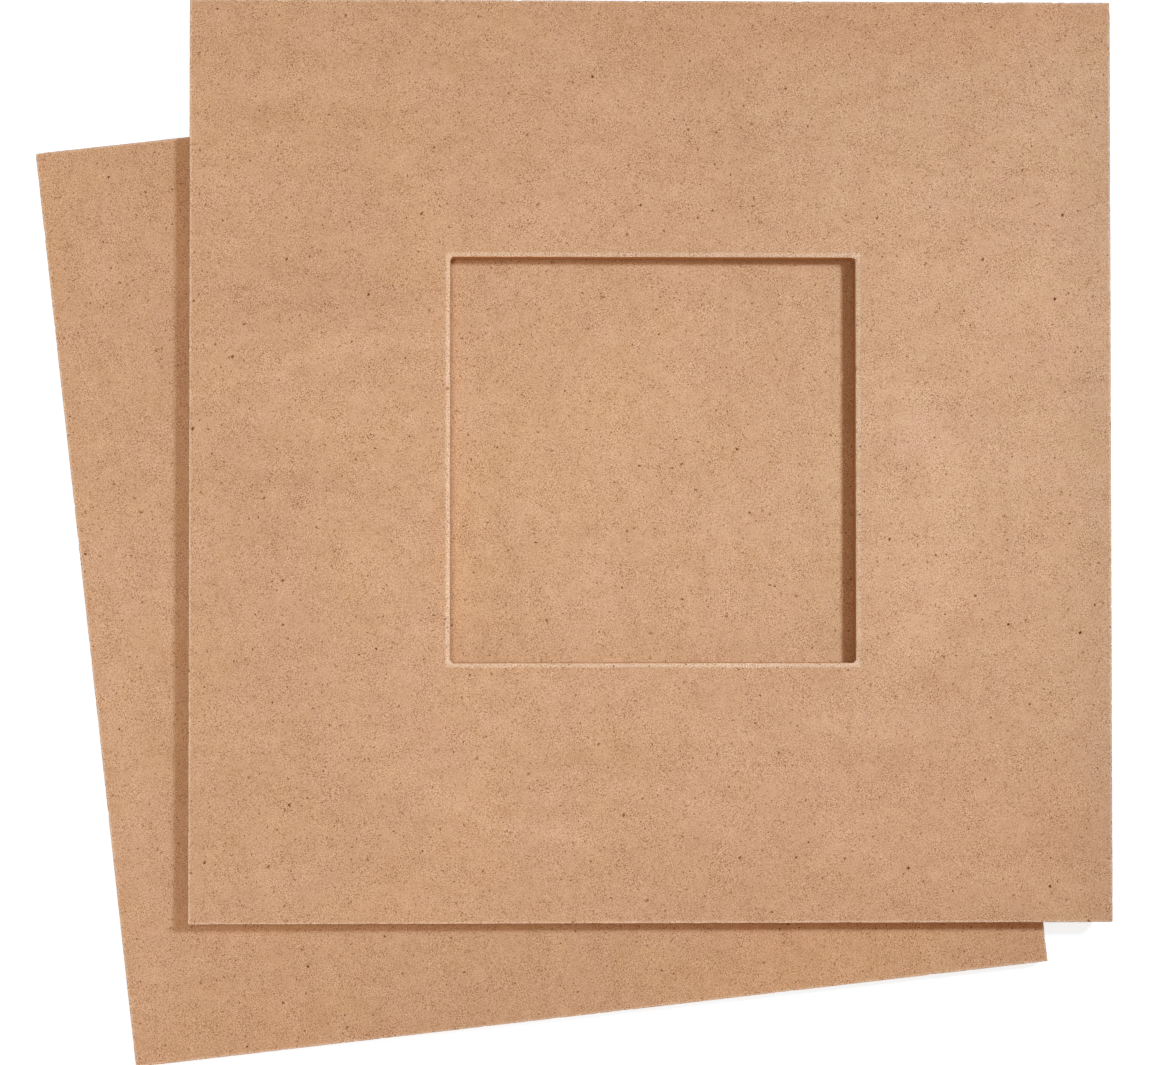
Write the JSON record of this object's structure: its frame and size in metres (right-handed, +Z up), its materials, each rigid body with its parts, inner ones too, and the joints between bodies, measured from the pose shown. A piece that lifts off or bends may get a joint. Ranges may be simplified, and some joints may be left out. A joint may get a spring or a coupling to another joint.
{
  "type": "square photo frame",
  "caption": "Square photo frame in raw fibreboard: a board with a square window lies loose on a plain square back board, fanned out.",
  "frame": {"origin": "on the table, under the middle of the front board's window, on the back board's underside", "axes": "+Z up, square to the boards; +Y to the front board's top edge; +X to the front board's right edge"},
  "size_m": [0.2928, 0.2895, 0.0083],
  "materials": {
    "front_board": "raw fibreboard, matt, fine dark specks",
    "back_board": "raw fibreboard, matt, fine dark specks"
  },
  "bodies": {
    "back": {"back_board": "back_board"},
    "front": {"front_board": "front_board"}
  },
  "joints": [
    {"name": "front_board_lift", "type": "slide", "parent": "back", "child": "front", "axis": [0, 0, 1], "range_m": [0, 0.06]}
  ]
}
